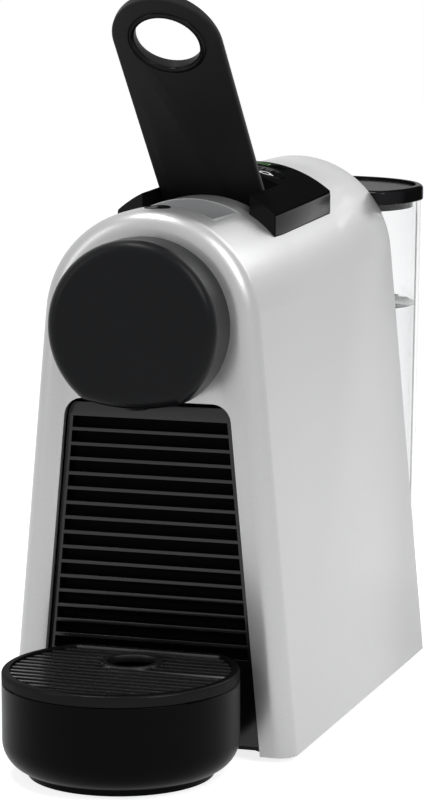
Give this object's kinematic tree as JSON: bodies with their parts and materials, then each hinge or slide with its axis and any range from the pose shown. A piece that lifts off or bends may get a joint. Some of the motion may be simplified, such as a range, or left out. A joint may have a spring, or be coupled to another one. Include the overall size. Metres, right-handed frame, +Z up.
{
  "type": "pod coffee machine",
  "caption": "Slim arched pod coffee machine with a ring lever, round brew head, louvred front, round drip tray and clear rear water tank.",
  "frame": {"origin": "on the counter, at the middle of the whole outline in plan", "axes": "+X to the machine's left as it faces the user, which is the viewer's right; +Y from the drip tray back to the water tank; +Z up"},
  "size_m": [0.1096, 0.3252, 0.2735],
  "materials": {
    "silver_shell": "satin silver paint",
    "gloss_black": "gloss",
    "satin_black": "satin",
    "lever_black": "matt",
    "inner_black": "matt",
    "grey_liner": "satin",
    "steel": "turned",
    "aluminium": "cast",
    "winding": "potted",
    "board": "coated board",
    "soft_rubber": "matt",
    "tube": "satin",
    "lens": "translucent",
    "clear_tank": "clear"
  },
  "bodies": {
    "machine": {"base_plate": "inner_black", "boiler_block": "aluminium", "boiler_feed": "tube", "brew_frame": "grey_liner", "button_switch_1": "inner_black", "button_switch_2": "inner_black", "capsule_chute": "grey_liner", "case_screw_1": "steel", "case_screw_2": "steel", "case_screw_3": "steel", "case_screw_4": "steel", "coffee_spout": "satin_black", "control_board": "board", "cord_gland": "inner_black", "extraction_plate": "grey_liner", "flow_meter": "grey_liner", "foot_1": "soft_rubber", "foot_2": "soft_rubber", "foot_3": "soft_rubber", "foot_4": "soft_rubber", "foot_5": "soft_rubber", "head_cap": "satin_black", "head_housing": "satin_black", "heater_1": "steel", "heater_2": "steel", "inner_wall": "inner_black", "outer_shell": "silver_shell", "power_board": "board", "pump_body": "steel", "pump_coil": "winding", "pump_feed": "tube", "pump_mount_1": "soft_rubber", "pump_mount_2": "soft_rubber", "pump_stand": "inner_black", "rear_cover": "inner_black", "status_lens": "lens", "tank_dock": "satin_black", "tank_feed": "tube", "thermostat_1": "winding", "thermostat_2": "winding", "top_deck": "gloss_black", "valve_socket": "grey_liner"},
    "lever": {"lever": "lever_black", "hinge_pin_1": "steel", "hinge_pin_2": "steel", "crank_pin": "steel"},
    "cage": {"capsule_cage": "grey_liner", "injector": "steel", "yoke": "grey_liner"},
    "left_button": {"button_1": "gloss_black"},
    "right_button": {"button_2": "gloss_black"},
    "drawer": {"louver_panel": "satin_black", "capsule_bin": "inner_black", "drawer_sled": "inner_black"},
    "drip_tray": {"drip_tray": "satin_black"},
    "drip_grid": {"drip_grid": "satin_black"},
    "water_tank": {"water_tank": "clear_tank", "tank_valve": "grey_liner", "valve_seal": "soft_rubber"},
    "tank_lid": {"tank_lid": "gloss_black"}
  },
  "joints": [
    {"name": "lever_hinge", "type": "hinge", "parent": "machine", "child": "lever", "pos_m": [0, -0.031, 0.17417], "axis": [1, 0, 0], "range_deg": [0, 49]},
    {"name": "cage_slide", "type": "slide", "parent": "machine", "child": "cage", "axis": [0, -1, 0], "range_m": [0, 0.01078]},
    {"name": "left_button_press", "type": "slide", "parent": "machine", "child": "left_button", "axis": [0, 0, -1], "range_m": [0, 0.0012], "stiffness_N_per_m": 900},
    {"name": "right_button_press", "type": "slide", "parent": "machine", "child": "right_button", "axis": [0, 0, -1], "range_m": [0, 0.0012], "stiffness_N_per_m": 900},
    {"name": "drawer_slide", "type": "slide", "parent": "machine", "child": "drawer", "axis": [0, -1, 0], "range_m": [0, 0.1]},
    {"name": "drip_tray_lift", "type": "slide", "parent": "drawer", "child": "drip_tray", "axis": [0, 0, 1], "range_m": [0, 0.05]},
    {"name": "drip_grid_lift", "type": "slide", "parent": "drip_tray", "child": "drip_grid", "axis": [0, 0, 1], "range_m": [0, 0.02]},
    {"name": "tank_lift", "type": "slide", "parent": "machine", "child": "water_tank", "axis": [0, 0, 1], "range_m": [0, 0.06]},
    {"name": "tank_lid_lift", "type": "slide", "parent": "water_tank", "child": "tank_lid", "axis": [0, 0, 1], "range_m": [0, 0.03]}
  ],
  "couplings": [
    {"joint": "cage_slide", "follows": "lever_hinge", "m_per_rad": 0.012607}
  ]
}
